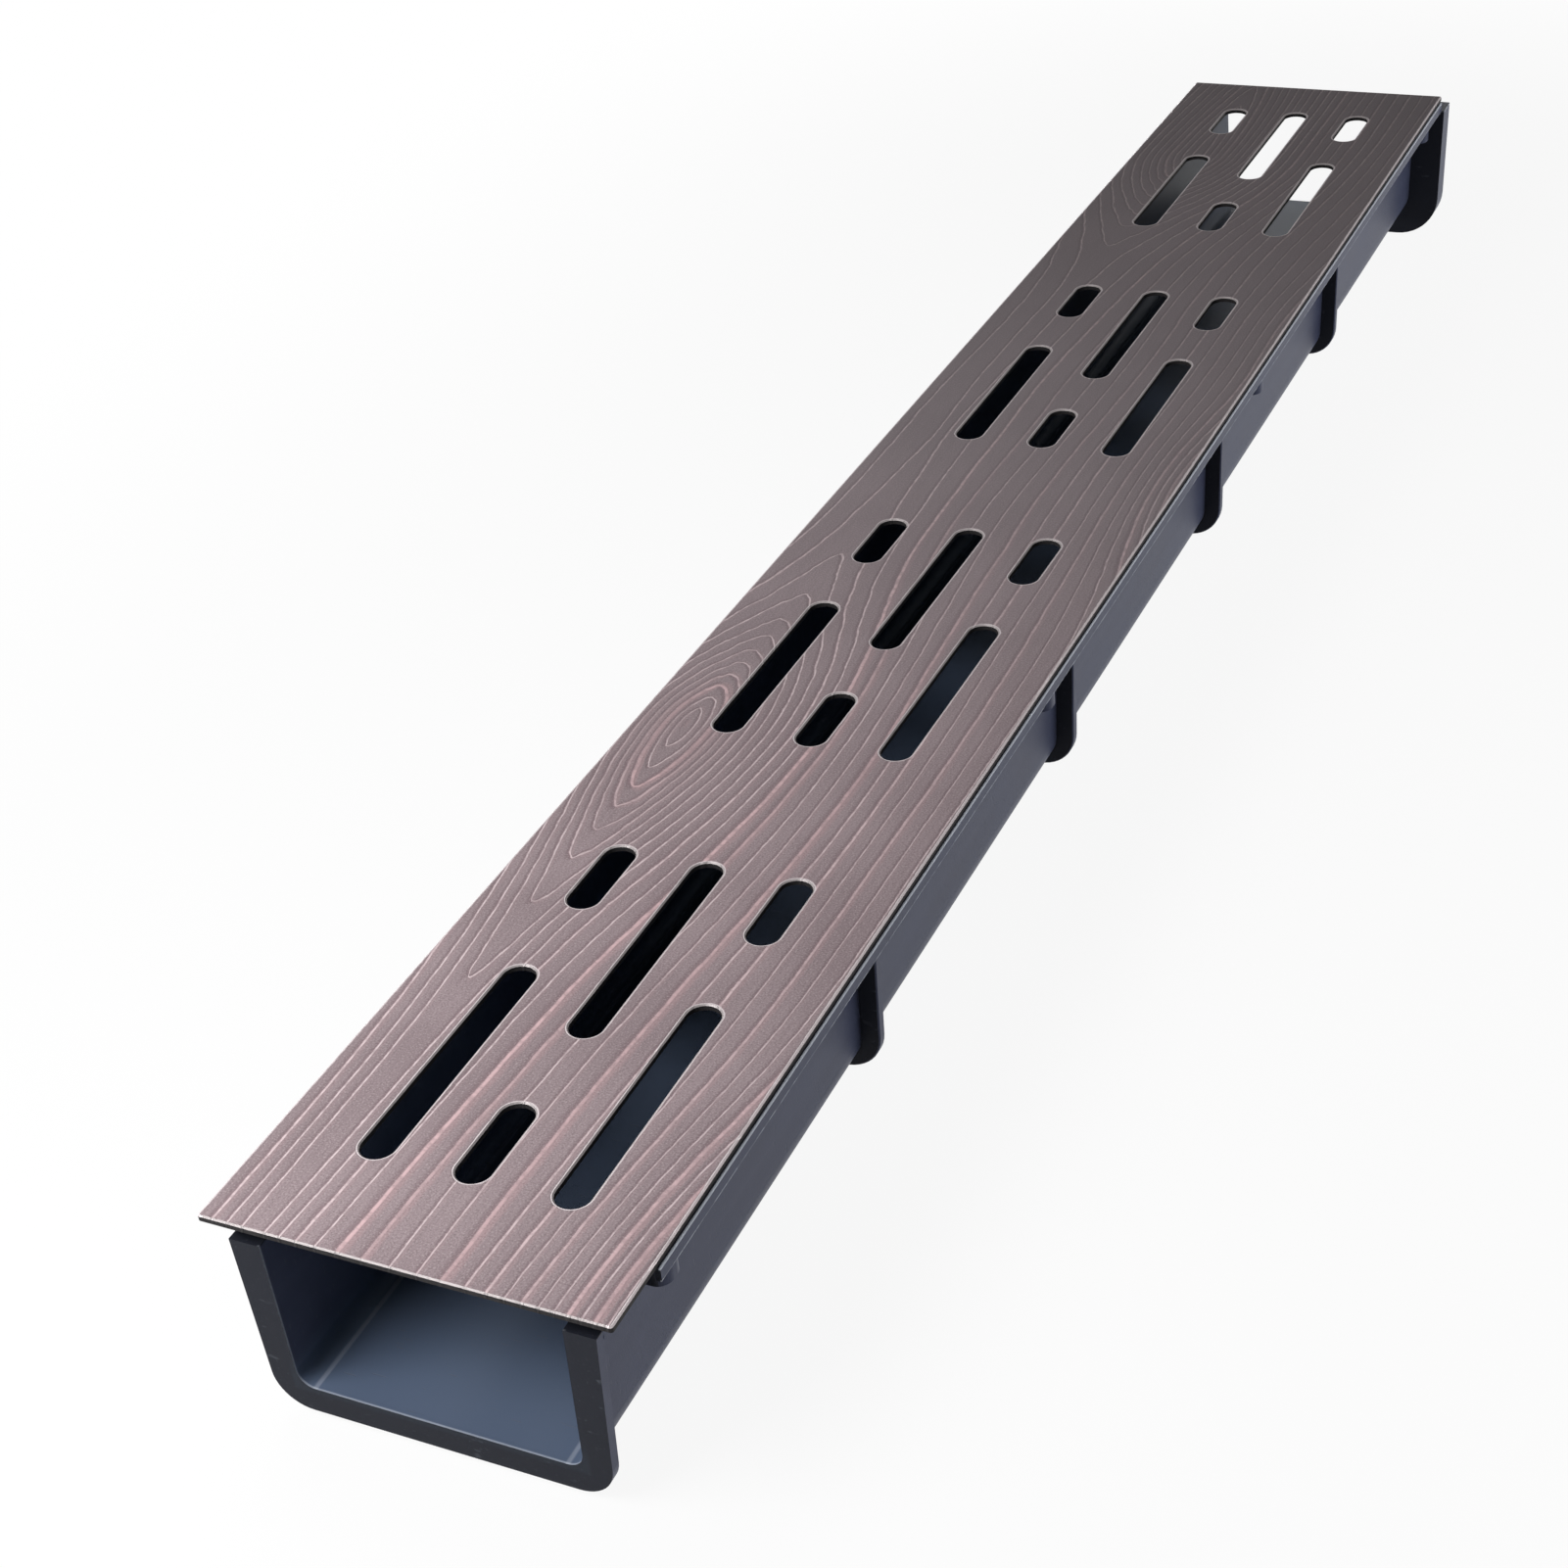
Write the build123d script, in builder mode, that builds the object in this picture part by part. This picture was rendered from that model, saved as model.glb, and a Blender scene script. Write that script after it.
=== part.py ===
from build123d import *
import os

os.makedirs("parts", exist_ok=True)

# Channel drain, sizes in millimetres.
# X runs across the channel, Y along it and Z up. The near end is the plain ring at -Y,
# the far end is the socket at +Y. Z is 0 at the lowest face, under the socket.

# Channel body: one moulding, a trough with slightly leaning walls and rounded lower corners
channel_length = 1008.0
way_top = 103.5  # clear width at the ledge
way_floor = 100.5  # clear width at the floor
way_depth = 57.5  # from the ledge down to the floor
way_round = 6.0
wall = 4.5
base = 2.8
body_round = 13.0

# Rebate along the top of each wall, with a thin lip outside it
rebate_ledge = 9.5
rebate_depth = 7.3
lip = 1.4
shoulder = 3.5  # material under the ledge

# Flange that carries the edge of the cover, with its outer edge turned down
flange_width = 142.5
flange_skin = 2.2
flange_edge = 2.0
flange_drop = 5.4
flange_start = 25.0  # the first stretch is left bare, so that it enters the next channel
flange_round = 0.6

# Plain ring round the near end, open at the top, as the lips begin behind it
ring_thick = 4.0
ring_base = 10.0
ring_taper = 1.2  # how much thinner each side is at the floor than at the ledge
ring_round = 13.0

# U-shaped ribs round the walls and the floor
rib_count = 4
rib_thick = 4.5
rib_stand = 7.2
rib_drop = 1.0
rib_round = 15.0
rib_edge = 0.5

# Socket collar at the far end, which takes the ring of the next channel
socket_depth = 10.0
socket_back = 4.0
socket_clear = 0.5
socket_wall = 9.5
socket_base = 2.5
socket_round = 22.0
socket_rise = 2.5  # how far its top stands above the ledge
socket_edge = 0.8

# Lugs under the flange, four on each side
lug_length = 12.0
lug_stand = 10.0  # out from the wall
lug_drop = 13.5  # below the edge of the flange
lug_round = 5.0
lug_near = 40.5  # from the near end to the middle of the first lug
lug_far = 9.0  # from the middle of the last lug to the socket collar
lug_half_bay = 143.5  # from the middle of the row to the two inner lugs

# Cover: one flat plate with obround slots, in groups of six
cover_length = 1000.0
cover_width = 140.5
cover_thick = 2.2
cover_overhang = 2.5  # past the near end of the channel
cover_corner = 1.0
cover_edge = 0.5  # broken edge on the upper side
group_count = 4
group_length = 172.0
row_pitch = 34.0
slot_width = 12.0
long_slot = 100.0
short_slot = 38.0

# Heights and stations worked out from the sizes above
floor_height = socket_base + socket_clear + ring_base
ledge_height = floor_height + way_depth
seat_height = ledge_height + rebate_depth
near_end = cover_overhang - (channel_length + cover_overhang) / 2
far_end = near_end + channel_length
socket_mouth = far_end - socket_depth
collar_start = socket_mouth - socket_back
ring_side = rebate_ledge + lip
socket_side = ring_side + socket_clear
collar_side = socket_side + socket_wall
lip_outside = way_top / 2 + ring_side
flange_outside = flange_width / 2


def half_way(height):
    """Half of the clear width of the trough at a height."""
    lean = (way_top - way_floor) / 2 / way_depth
    return way_floor / 2 + lean * (height - floor_height)


def across(station):
    """Upright plane across the channel, facing the far end."""
    return Plane((0, station, 0), x_dir=(-1, 0, 0), z_dir=(0, 1, 0))


def trough(station, side, below, top, corner, taper=0.0):
    """Trough outline: the clear way, made wider by side and deeper by below.

    The taper is how much less wide than that it is at the floor, counted from the ledge.
    """
    bottom = floor_height - below
    top_half = half_way(top) + side - taper * (ledge_height - top) / way_depth
    bottom_half = half_way(bottom) + side - taper * (ledge_height - bottom) / way_depth
    with BuildSketch(across(station)) as outline:
        with BuildLine():
            Polyline(
                (-top_half, top),
                (-bottom_half, bottom),
                (bottom_half, bottom),
                (top_half, top),
                close=True,
            )
        make_face()
        fillet(outline.vertices().group_by(Axis.Y)[0], corner)
    return outline.sketch


def rail(station):
    """Both shoulders, from the clear way out to the lip and up to the cover."""
    inside = half_way(ledge_height - shoulder)
    middle = (inside + lip_outside) / 2
    with BuildSketch(across(station)) as outline:
        with Locations((-middle, ledge_height - shoulder), (middle, ledge_height - shoulder)):
            Rectangle(lip_outside - inside, shoulder + rebate_depth, align=(Align.CENTER, Align.MIN))
    return outline.sketch


def flange(station):
    """Both flanges: a thin shelf from the lip outwards, and its edge turned down."""
    with BuildSketch(across(station)) as outline:
        with BuildLine():
            Polyline(
                (lip_outside, seat_height),
                (flange_outside, seat_height),
                (flange_outside, seat_height - flange_drop),
                (flange_outside - flange_edge, seat_height - flange_drop),
                (flange_outside - flange_edge, seat_height - flange_skin),
                (lip_outside, seat_height - flange_skin),
                close=True,
            )
        make_face()
        fillet(outline.vertices().sort_by(Axis.X)[-2:], flange_round)
        mirror(about=Plane.YZ)
    return outline.sketch


# Ribs, each with its corners broken
with BuildPart() as ribs:
    for number in range(rib_count):
        station = near_end + (number + 1) * channel_length / (rib_count + 1) - rib_thick / 2
        extrude(
            trough(station, wall + rib_stand, base + rib_drop, ledge_height - shoulder / 2, rib_round),
            amount=rib_thick,
        )
    chamfer(ribs.edges().filter_by(Plane.XZ).group_by(Axis.Z)[0], rib_edge)

# Socket collar before its hollow is cut
with BuildPart() as collar:
    extrude(
        trough(collar_start, collar_side, ring_base + socket_clear + socket_base,
               ledge_height + socket_rise, socket_round),
        amount=socket_back + socket_depth,
    )
    fillet(collar.faces().sort_by(Axis.Y)[-1].edges().sort_by(Axis.Z)[:-1], socket_edge)

# Lugs on the +X side, mirrored to the other
lug_first = near_end + lug_near
lug_last = collar_start - lug_far
lug_middle = (lug_first + lug_last) / 2
lug_stations = (lug_first, lug_middle - lug_half_bay, lug_middle + lug_half_bay, lug_last)
lug_outside = half_way(ledge_height) + wall + lug_stand
lug_inside = half_way(floor_height) + wall / 2
with BuildPart() as lugs:
    with BuildSketch(Plane.XY.offset(seat_height - flange_drop - lug_drop)):
        with Locations(*[((lug_inside + lug_outside) / 2, station) for station in lug_stations]):
            Rectangle(lug_outside - lug_inside, lug_length)
    extrude(amount=lug_drop + flange_drop - flange_skin / 2)
    fillet(lugs.edges().filter_by(Axis.Z).group_by(Axis.X)[-1], lug_round)
    mirror(about=Plane.YZ)

# The channel: everything outside first, then the rebate, the clear way and the socket are cut
with BuildPart() as channel:
    extrude(trough(near_end, wall, base, ledge_height, body_round), amount=socket_mouth - near_end)
    extrude(
        trough(near_end, ring_side, ring_base, ledge_height, ring_round, ring_taper),
        amount=ring_thick,
    )
    extrude(rail(near_end + ring_thick), amount=socket_mouth - near_end - ring_thick)
    extrude(flange(near_end + flange_start), amount=collar_start - near_end - flange_start)
    add(ribs.part)
    add(collar.part)
    add(lugs.part)
    with BuildSketch(across(near_end)):
        with Locations((0, ledge_height)):
            Rectangle(way_top + 2 * rebate_ledge, 2 * rebate_depth, align=(Align.CENTER, Align.MIN))
    extrude(amount=channel_length, mode=Mode.SUBTRACT)
    extrude(
        trough(near_end, 0, 0, seat_height + rebate_depth, way_round),
        amount=channel_length,
        mode=Mode.SUBTRACT,
    )
    extrude(
        trough(socket_mouth, socket_side, ring_base + socket_clear, seat_height + rebate_depth,
               ring_round + socket_clear, ring_taper),
        amount=socket_depth,
        mode=Mode.SUBTRACT,
    )

# Slots of one group: in each half of its length a row of three, where the outer two and the
# middle one change between long and short
slot_places = []
for group in range(group_count):
    group_start = near_end - cover_overhang + (group + 0.5) * cover_length / group_count - group_length / 2
    for row in (-1, 0, 1):
        first, second = (short_slot, long_slot) if row == 0 else (long_slot, short_slot)
        slot_places.append((row * row_pitch, group_start + first / 2, first))
        slot_places.append((row * row_pitch, group_start + group_length - second / 2, second))

with BuildPart() as cover:
    with BuildSketch(Plane.XY.offset(seat_height)):
        with Locations((0, near_end - cover_overhang + cover_length / 2)):
            RectangleRounded(cover_width, cover_length, cover_corner)
        for x, y, slot_length in slot_places:
            with Locations((x, y)):
                SlotOverall(slot_length, slot_width, rotation=90, mode=Mode.SUBTRACT)
    extrude(amount=cover_thick)
    chamfer(cover.faces().sort_by(Axis.Z)[-1].edges(), cover_edge)

channel.part.label = "channel"
cover.part.label = "cover"
export_step(channel.part, "parts/channel.step")
export_step(cover.part, "parts/cover.step")
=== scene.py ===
import math

import bpy
from mathutils import Matrix, Vector


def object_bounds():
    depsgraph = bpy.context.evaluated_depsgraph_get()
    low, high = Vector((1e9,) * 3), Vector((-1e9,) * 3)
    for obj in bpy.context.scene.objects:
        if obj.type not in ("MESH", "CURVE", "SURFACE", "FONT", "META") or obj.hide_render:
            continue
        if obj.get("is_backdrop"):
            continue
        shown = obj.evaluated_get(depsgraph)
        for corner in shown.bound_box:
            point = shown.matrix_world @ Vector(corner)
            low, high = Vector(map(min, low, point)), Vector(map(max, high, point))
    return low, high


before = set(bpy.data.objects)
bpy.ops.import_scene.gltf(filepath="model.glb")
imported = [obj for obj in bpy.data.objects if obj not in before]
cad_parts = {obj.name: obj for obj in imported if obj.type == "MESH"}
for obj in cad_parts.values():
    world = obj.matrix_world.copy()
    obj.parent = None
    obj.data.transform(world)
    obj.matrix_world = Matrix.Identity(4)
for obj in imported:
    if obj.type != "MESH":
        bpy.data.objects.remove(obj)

cad_low, cad_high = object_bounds()


# Channel: the trough with its ring, ribs, flanges, lugs and socket collar, one moulding in dark
# blue-grey plastic. The mould leaves it satin, with a fine matt texture, faint flow streaks
# along its length, and scuffs where it has been handled.

class Wire:
    """One socket in a material. Sums written on it become Math nodes."""

    def __init__(self, tree, socket=None):
        self.tree = tree
        self.socket = socket

    def node(self, kind, settings=(), sockets=(), out=0):
        """Adds a node: its settings first, then the values or links of its sockets."""
        made = self.tree.nodes.new(kind)
        for name, value in dict(settings).items():
            setattr(made, name, value)
        for name, value in dict(sockets).items():
            if isinstance(value, Wire):
                self.tree.links.new(value.socket, made.inputs[name])
            else:
                made.inputs[name].default_value = value
        return Wire(self.tree, made.outputs[out] if made.outputs else None)

    def outlet(self, name):
        """Another outlet of the node that this socket belongs to."""
        return Wire(self.tree, self.socket.node.outputs[name])

    def sum(self, operation, *others, first=None):
        """A Math node worked on this value and others, or on another value first."""
        values = (self, *others) if first is None else (first, self)
        return self.node("ShaderNodeMath", {"operation": operation}, dict(enumerate(values)))

    def __add__(self, other): return self.sum("ADD", other)
    def __radd__(self, other): return self.sum("ADD", other)
    def __sub__(self, other): return self.sum("SUBTRACT", other)
    def __rsub__(self, other): return self.sum("SUBTRACT", first=other)
    def __mul__(self, other): return self.sum("MULTIPLY", other)
    def __rmul__(self, other): return self.sum("MULTIPLY", other)
    def __truediv__(self, other): return self.sum("DIVIDE", other)
    def __rtruediv__(self, other): return self.sum("DIVIDE", first=other)
    def __pow__(self, other): return self.sum("POWER", other)
    def __rpow__(self, other): return self.sum("POWER", first=other)
    def __mod__(self, other): return self.sum("FLOORED_MODULO", other)
    def __rmod__(self, other): return self.sum("FLOORED_MODULO", first=other)
    def __gt__(self, other): return self.sum("GREATER_THAN", other)
    def __lt__(self, other): return self.sum("LESS_THAN", other)
    def __abs__(self): return self.sum("ABSOLUTE")
    def __floor__(self): return self.sum("FLOOR")
    def __round__(self): return self.sum("ROUND")

    def rise(self, low, high):
        """0 below low, 1 above high, and a soft rise between them."""
        return self.node("ShaderNodeMapRange", {"interpolation_type": "SMOOTHSTEP"},
                         {0: self, 1: low, 2: high, 3: 0.0, 4: 1.0})

    def fall(self, low, high):
        """1 below low, 0 above high, and a soft fall between them."""
        return 1 - self.rise(low, high)

    def scaled(self, x, y, z):
        return self.node("ShaderNodeVectorMath", {"operation": "MULTIPLY"}, {0: self, 1: (x, y, z)})

    def noise(self, scale, detail=2.0, roughness=0.5):
        return self.node("ShaderNodeTexNoise", {},
                         {"Vector": self, "Scale": scale, "Detail": detail, "Roughness": roughness})

    def between(self, start, end):
        """The colour that this value picks on the way from one colour to another."""
        return self.node("ShaderNodeMix", {"data_type": "RGBA"}, {0: self, 6: start, 7: end}, 2)

    def tint(self, other, amount):
        """This colour turned towards another one by an amount."""
        return amount.between(self, other)


plastic = bpy.data.materials.new("channel plastic")
plastic.use_nodes = True
satin = plastic.node_tree.nodes["Principled BSDF"].inputs
mould = Wire(plastic.node_tree)
place = mould.node("ShaderNodeTexCoord", out="Object")
sides = mould.node("ShaderNodeSeparateXYZ", {}, {0: place})
out_mm = abs(sides) * 1000.0
end_mm = sides.outlet("Y") * 1000.0
up_mm = sides.outlet("Z") * 1000.0

pellets = place.noise(2600.0, 3.0)
clouds = place.noise(22.0, 3.0)
flow = place.scaled(90.0, 4.0, 90.0).noise(1.0, 4.0, 0.6)
scuffs = place.scaled(30.0, 260.0, 60.0).noise(4.0, 2.0).rise(0.66, 0.74)
dust = place.noise(900.0, 2.0).rise(0.64, 0.76)
edge_breaks = place.noise(260.0, 2.0).rise(0.42, 0.60)

# The floor inside is paler all along. The walls are a little paler at the mouth, and more so
# further in. This paler blue is painted light, not a change in the plastic. Places are in
# millimetres: out from the middle, along from it, and up.
near_end = -502.75
floor_top = 13.0
ledge = 70.5
wall_side = 51.75
within = (out_mm.fall(wall_side - 0.25, wall_side + 1.25)
          * up_mm.rise(floor_top - 3.0, floor_top - 1.0)
          * up_mm.fall(ledge - 0.5, ledge + 0.5))
deeper = end_mm.rise(near_end + 7.75, near_end + 72.75)
low_down = up_mm.fall(floor_top + 2.0, floor_top + 13.0)
painted_inside_light = within * (0.12 + 0.40 * deeper + (0.88 - 0.40 * deeper) * low_down)

# The end faces are darker, and so are the ledges and lips in the gap under the cover, with the
# bare outer side of the lip by the ring. This darkening is painted shade, not a darker plastic.
lip_side = 62.65
true_face = mould.node("ShaderNodeNewGeometry", out="True Normal")
facing = mould.node("ShaderNodeSeparateXYZ", {}, {0: true_face}).outlet("Y")
ends = abs(facing).rise(0.85, 0.97)
painted_shade_under_cover = (up_mm.rise(ledge - 0.7, ledge - 0.2) * out_mm.fall(lip_side + 0.15, lip_side + 0.55)
               * end_mm.fall(470.0, 480.0))

# Some edges are pale. Both edges of the flange's rim, the lower one in broken stretches, are
# partly rubbed and partly painted highlight. The creases along the floor and the inner edge of
# the mouth are painted highlights.
flange_side = 71.25
flange_foot = 72.4
seat = 77.8
floor_crease = 44.4
crease = (out_mm.rise(floor_crease - 1.0, floor_crease - 0.2)
          * out_mm.fall(floor_crease + 0.4, floor_crease + 1.4)
          * up_mm.fall(floor_top + 1.0, floor_top + 2.0))
mouth = end_mm.fall(near_end + 0.45, near_end + 0.85) * (1 - ends)
foot = (up_mm.fall(flange_foot + 0.5, flange_foot + 0.9)
        * up_mm.rise(flange_foot - 0.5, flange_foot - 0.1))
flange_edge = up_mm.rise(seat - 1.0, seat - 0.6) + foot * (0.15 + 0.6 * edge_breaks)
rubbed_and_highlit = (out_mm.rise(flange_side - 0.75, flange_side - 0.35) * flange_edge
          + within * (0.22 * crease * (1 - ends) + 0.4 * mouth))

dark_slate, light_slate = (0.043, 0.049, 0.087, 1), (0.060, 0.069, 0.115, 1)
# Of these colours, the inside blue is painted light, the end black is painted shade, and the rubbed
# grey is partly rubbing and partly painted highlight.
inside_light_blue = (0.092, 0.125, 0.190, 1)
painted_shade_black = (0.012, 0.013, 0.016, 1)
scuffed_grey = (0.11, 0.12, 0.14, 1)
rubbed_and_highlight_grey = (0.56, 0.60, 0.68, 1)
slate = (0.6 * clouds + 0.4 * flow).rise(0.3, 0.7).between(dark_slate, light_slate)
# Painted light: the inside of the trough is tinted a paler blue.
slate = slate.tint(inside_light_blue, 0.85 * painted_inside_light)
# Painted shade: the end faces and the gap under the cover are tinted near black.
slate = slate.tint(painted_shade_black, 0.88 * ends.sum("MAXIMUM", painted_shade_under_cover))
slate = slate.tint(scuffed_grey, 0.30 * scuffs + 0.14 * dust)
# Partly rubbing and partly painted highlight: the pale edges of the flange, creases and mouth.
slate = slate.tint(rubbed_and_highlight_grey, rubbed_and_highlit)
mould.tree.links.new(slate.socket, satin["Base Color"])
rough = 0.30 + 0.10 * clouds + 0.06 * pellets + 0.12 * scuffs + 0.15 * ends
mould.tree.links.new(rough.socket, satin["Roughness"])
satin["Specular IOR Level"].default_value = 0.10
texture = mould.node("ShaderNodeBump", {}, {
    "Strength": 0.35,
    "Distance": 0.0003,
    "Height": 0.5 * pellets * (1 - 0.7 * within) + 0.6 * flow - 0.5 * scuffs,
})
mould.tree.links.new(texture.socket, satin["Normal"])
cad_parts["channel"].data.materials.clear()
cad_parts["channel"].data.materials.append(plastic)


# Cover: one sheet of metal with a taupe coating and a printed, lightly embossed wood grain,
# punched with obround slots after it was coated. The broken edges round the sheet and the slots
# show bare metal. It lies loose on the flanges of the channel.

coating = bpy.data.materials.new("cover coating")
coating.use_nodes = True
sheet = coating.node_tree.nodes["Principled BSDF"].inputs
press = Wire(coating.node_tree)
near_edge = -505.25
half_width = 70.25
spot = press.node("ShaderNodeTexCoord", out="Object")
axes = press.node("ShaderNodeSeparateXYZ", {}, {0: spot})
across_mm = axes * 1000.0
along_mm = axes.outlet("Y") * 1000.0 - near_edge

# The figure in the wood. Each row is a hill or hollow: its height, its place across and along
# the sheet, its reach across, to the near end and to the far end, and how pointed it is.
figure = (
    (-10.5, -49.5, 291, 33, 84, 66, 0.72),  # the knot by the second slots
    (4.5, 80, 10, 27, 85, 85, 1.0),  # wavy lines at the near right corner
    (-2.3, -51, 130, 14, 420, 130, 1.0),  # lines crowded along the near left edge
    (4.0, 78, 525, 22, 70, 75, 1.0),  # wavy lines halfway along the right edge
    (1.5, 82, 690, 26, 60, 60, 1.0),  # wavy lines further along it
    (-11.5, -34, 892, 43, 72, 250, 0.8),  # arched lines at the far left corner
)


def grain(x, y):
    """Height of the grown wood at a place. Lines run halfway between the whole heights."""
    side = x + 50.0 - 0.012 * y - 3.0 * (y / 150.0 + 0.5).sum("SINE")
    slope = side * (0.088 + 0.0002 * side)
    height = (slope * slope + 0.08) ** 0.5
    for lift, at_x, at_y, width, near, far, power in figure:
        step = y - at_y
        sideways = abs(x - at_x) / width
        reach = step / (near + (far - near) * (step > 0))
        height = height + lift * math.e ** (-1.0 * (sideways ** 1.5 + reach * reach) ** power)
    height = height + 0.12 * (y / 61.0 + x / 23.0).sum("SINE")
    height = height + 0.08 * (y / 33.0 - x / 11.0).sum("SINE")
    return height


def chance_of(number):
    """A share between 0 and 1, drawn by lot for each number."""
    return press.node("ShaderNodeTexWhiteNoise", {"noise_dimensions": "1D"}, {"W": number})


drift = spot.scaled(30.0, 9.0, 30.0).noise(1.0, 3.0) - 0.5
curl = spot.scaled(165.0, 80.0, 165.0).noise(1.0, 2.0) - 0.5
probe = 0.5
smooth = grain(across_mm, along_mm)
steep_across = grain(across_mm + probe, along_mm) - smooth
steep_along = grain(across_mm, along_mm + probe) - smooth
steep = (steep_across * steep_across + steep_along * steep_along + 0.000001) ** 0.5 / probe
here = smooth + 0.45 * drift + (0.08 + 11.0 * abs(steep_along)) * curl
ring_number = math.floor(here)
off_line = (here - ring_number - 0.5) / steep * (1 - 2 * (steep_across < 0))

chance = chance_of(ring_number)
other_chance = chance_of(ring_number + 0.37)
along_ring = press.node("ShaderNodeCombineXYZ", {}, {0: ring_number * 7.1, 1: along_mm / 5.0})
breaks = along_ring.noise(1.0, 3.0, 0.7)
patches = spot.noise(14.0, 3.0)
fibres = spot.scaled(900.0, 60.0, 900.0).noise(1.0, 2.0, 0.6)
grit = spot.noise(1500.0, 2.0, 0.6)
fine_grit = spot.noise(3600.0, 1.0)
wobble = spot.noise(420.0, 2.0) - 0.5

# Some lines are printed broad and salmon pink, most fine and pale. Each has a darker band on
# its left, a painted shade beside the embossed line, and a pink blush under it and on its right.
# Lines that crowd are fainter. Towards the far end the lines fade, and the sheet is tinted
# greyer as a painted sheen.
paler = along_mm.rise(200.0, 650.0)
crowded = steep.rise(0.18, 0.40)
wide = chance.rise(0.45, 0.90) * (1 - 0.6 * paler)
line_width = 0.30 + 0.14 * other_chance + 0.45 * wide + 0.30 * wobble
line = 1 - (abs(off_line + 0.35 * wobble) / line_width).rise(0.35, 1.25)
line = line * (0.40 + 0.60 * breaks.rise(0.34, 0.60)) * (0.55 + 0.45 * other_chance)
line = line * (1 - 0.4 * paler) * (1 - 0.7 * crowded)
left_of_line = -1.0 * off_line / line_width
shade = left_of_line.rise(0.7, 1.3) * left_of_line.fall(1.6, 4.5)
blush = abs(left_of_line + 0.8).fall(0.8, 3.4) * (0.35 + 0.65 * wide) * (1 - 0.6 * paler)

dark_taupe, light_taupe = (0.254, 0.197, 0.209, 1), (0.334, 0.263, 0.278, 1)
blush_pink = (0.440, 0.290, 0.302, 1)
painted_shade_brown = (0.185, 0.125, 0.138, 1)
dark_grit, pale_grit = (0.150, 0.120, 0.122, 1), (0.500, 0.430, 0.430, 1)
painted_sheen_grey = (0.270, 0.250, 0.262, 1)
pale_pink, salmon_pink = (0.700, 0.580, 0.595, 1), (0.660, 0.460, 0.475, 1)
mottle = (0.25 * fibres + 0.45 * patches + 0.3 * grit).rise(0.36, 0.66)
taupe = mottle.between(dark_taupe, light_taupe)
taupe = taupe.tint(blush_pink, 0.50 * blush)
# Painted shade: a darker band beside each embossed line, on its left.
taupe = taupe.tint(painted_shade_brown, 0.55 * shade)
taupe = taupe.tint(dark_grit, 0.45 * grit.fall(0.30, 0.48) + 0.2 * fine_grit.fall(0.32, 0.44))
taupe = taupe.tint(pale_grit, 0.45 * grit.rise(0.53, 0.72) + 0.2 * fine_grit.rise(0.58, 0.72))
pink = wide.between(pale_pink, salmon_pink)
# Painted sheen: the sheet turns greyer towards the far end.
grained = taupe.tint(painted_sheen_grey, 0.55 * paler).tint(pink, 0.95 * line)

# The punch wears the coating off round every slot. The slots stand in groups, in three rows,
# and the middle row of a group is the outer rows turned end for end.
group_pitch = 250.0
group_half = 86.0
row_pitch = 34.0
slot_round = 6.0
long_half = 50.0
short_half = 19.0
row = round(across_mm / row_pitch)
from_row = across_mm - row_pitch * row
outer = abs(row)
in_group = (2.0 * outer - 1.0) * (along_mm % group_pitch - group_pitch / 2)


def from_slot(middle, half_length):
    """How far a place is outside the outline of one slot, in millimetres."""
    beyond = (abs(in_group - middle) - (half_length - slot_round)).sum("MAXIMUM", 0.0)
    return (from_row * from_row + beyond * beyond) ** 0.5 - slot_round


to_long = from_slot(long_half - group_half, long_half)
to_short = from_slot(group_half - short_half, short_half)
past_rows = 9.0 * (outer > 1.5)
to_slot = to_long.sum("MINIMUM", to_short) + past_rows
rim = half_width - abs(across_mm)
worn = (to_slot.sum("MINIMUM", rim + 0.05) + 0.5 * wobble).fall(0.80, 1.10)

bare_metal = (0.58, 0.52, 0.53, 1)
painted_slot_bevel_shade = (0.34, 0.31, 0.31, 1)
side_and_under_black = (0.030, 0.028, 0.029, 1)
true_face = press.node("ShaderNodeNewGeometry", out="True Normal")
upright = press.node("ShaderNodeSeparateXYZ", {}, {0: true_face}, 2)
bevel = upright.rise(0.3, 0.5) * upright.fall(0.9, 0.97)
bare = bevel.sum("MAXIMUM", worn * upright.rise(0.9, 0.97))
skin = grained.tint(bare_metal, 0.9 * bare)
# Painted shade: the bevels round the slots are a darker grey than the bare metal.
skin = skin.tint(painted_slot_bevel_shade, bevel * (rim > 2.0))
# The side faces, the slot walls and the underside are tinted near black.
skin = skin.tint(side_and_under_black, upright.fall(0.2, 0.3))
press.tree.links.new(skin.socket, sheet["Base Color"])
rough = 0.52 + 0.16 * grit - 0.10 * line - 0.15 * bare
press.tree.links.new(rough.socket, sheet["Roughness"])
press.tree.links.new((0.3 * bare).socket, sheet["Metallic"])
sheet["Specular IOR Level"].default_value = 0.09
emboss = press.node("ShaderNodeBump", {}, {
    "Strength": 0.6,
    "Distance": 0.0004,
    "Height": 0.8 * line - 0.5 * shade + 0.10 * fibres + 0.35 * grit - 0.6 * worn,
})
press.tree.links.new(emboss.socket, sheet["Normal"])
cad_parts["cover"].data.materials.clear()
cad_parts["cover"].data.materials.append(coating)


# Studio: a plain pale floor that the channel stands on, soft boxes over and beside it, and the
# camera where the photograph was taken from. The camera sees the background white, and the
# floor nearly so, with a faint shadow on it. The channel gets no more light for that.

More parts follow.
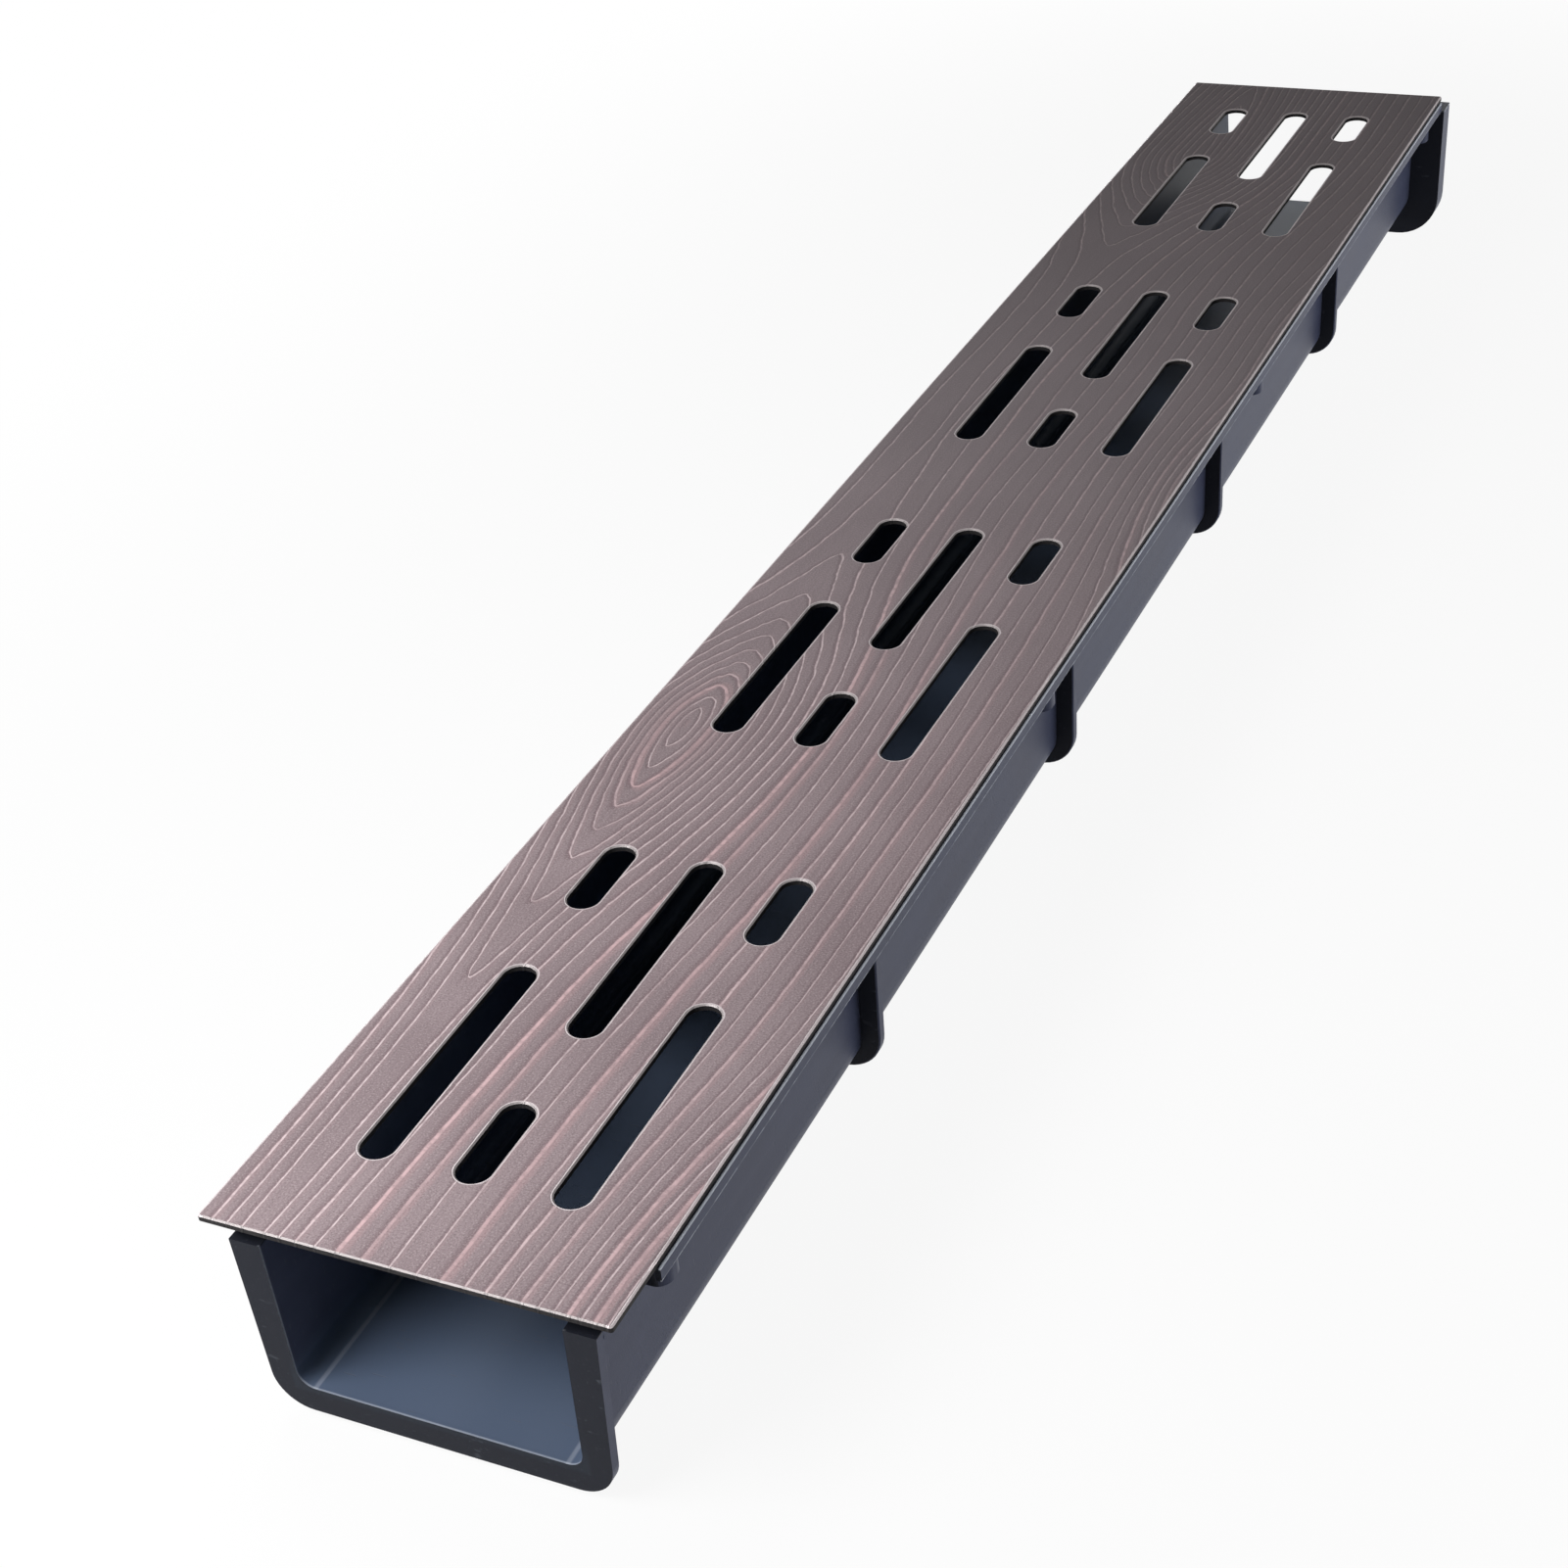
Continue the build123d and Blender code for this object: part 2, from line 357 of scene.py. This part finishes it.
floor_mesh = bpy.data.meshes.new("studio floor")
floor_mesh.from_pydata([(-6, -6, 0), (6, -6, 0), (6, 8, 0), (-6, 8, 0)], [], [(0, 1, 2, 3)])
floor = bpy.data.objects.new("studio floor", floor_mesh)
bpy.context.scene.collection.objects.link(floor)
floor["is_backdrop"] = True


def straight_rays(maker):
    """1 for what the camera sees, also in gloss and through clear pieces, and 0 for the rest."""
    seen = maker.node("ShaderNodeLightPath", out="Is Camera Ray")
    straight = seen + seen.outlet("Is Glossy Ray") + seen.outlet("Is Transmission Ray")
    return straight.sum("MINIMUM", 1.0)


paper = bpy.data.materials.new("studio paper")
paper.use_nodes = True
paper.node_tree.nodes.clear()
roll = Wire(paper.node_tree)
matt = roll.node("ShaderNodeBsdfDiffuse", {}, {"Color": (0.80, 0.80, 0.80, 1)})
glow = roll.node("ShaderNodeEmission", {}, {"Color": (1, 1, 1, 1), "Strength": 1.0})
spread = roll.node("ShaderNodeSeparateXYZ", {}, {0: roll.node("ShaderNodeTexCoord", out="Object")})
past_end = (abs(spread.outlet("Y")) - 0.5).sum("MAXIMUM", 0.0)
away = (spread * spread + past_end * past_end) ** 0.5
share = (0.92 + 0.08 * away.rise(0.10, 0.70)) * straight_rays(roll)
mixed = roll.node("ShaderNodeMixShader", {}, {0: share, 1: matt, 2: glow})
roll.node("ShaderNodeOutputMaterial", {}, {"Surface": mixed})
floor.data.materials.append(paper)

world = bpy.data.worlds.new("studio")
bpy.context.scene.world = world
world.use_nodes = True
world.node_tree.nodes.clear()
air = Wire(world.node_tree)
dim = air.node("ShaderNodeBackground", {}, {"Color": (1, 1, 1, 1), "Strength": 0.045})
white = air.node("ShaderNodeBackground", {}, {"Color": (1, 1, 1, 1), "Strength": 1.0})
both = air.node("ShaderNodeMixShader", {}, {0: straight_rays(air), 1: dim, 2: white})
air.node("ShaderNodeOutputWorld", {}, {"Surface": both})

for name, stand, aim, size, power in (
    ("before the near end", (-0.28, -0.80, 0.53), (0.0, -0.48, 0.05), (0.45, 0.35), 5.5),
    ("over the middle", (-0.28, -0.18, 0.64), (0.0, -0.48, 0.0), (0.3, 0.3), 1.4),
    ("low at the right", (1.20, 0.40, 0.042), (0.0, 0.20, 0.042), (1.3, 0.06), 8.0),
    ("low at the left", (-1.20, 0.10, 0.042), (0.0, 0.0, 0.042), (1.3, 0.06), 9.0),
    ("low behind the socket", (-0.35, 1.30, 0.042), (0.0, 0.50, 0.042), (0.7, 0.06), 4.0),
):
    lamp = bpy.data.lights.new("soft box " + name, "AREA")
    lamp.shape = "RECTANGLE"
    lamp.size, lamp.size_y = size
    lamp.energy = power
    soft_box = bpy.data.objects.new("soft box " + name, lamp)
    soft_box.location = stand
    soft_box.rotation_euler = (Vector(aim) - Vector(stand)).to_track_quat("-Z", "Y").to_euler()
    soft_box.visible_camera = False
    bpy.context.scene.collection.objects.link(soft_box)

lens = bpy.data.cameras.new("camera")
lens.sensor_width = 36.0
lens.lens = 60.77
lens.shift_x = 0.00493
lens.shift_y = 0.01607
lens.clip_start = 0.05
camera = bpy.data.objects.new("camera", lens)
to_right = Vector((0.90552, 0.41440, -0.09115))
to_top = Vector((-0.16342, 0.53885, 0.82640))
to_back = Vector((0.39157, -0.73342, 0.55566))
turn = Matrix((to_right, to_top, to_back)).transposed().to_4x4()
camera.matrix_world = Matrix.Translation((0.37522, -0.94676, 0.60218)) @ turn
bpy.context.scene.collection.objects.link(camera)
bpy.context.scene.camera = camera
bpy.context.scene.view_settings.view_transform = "Standard"

low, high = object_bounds()
{"cad": [list(cad_low), list(cad_high)], "visual": [list(low), list(high)]}
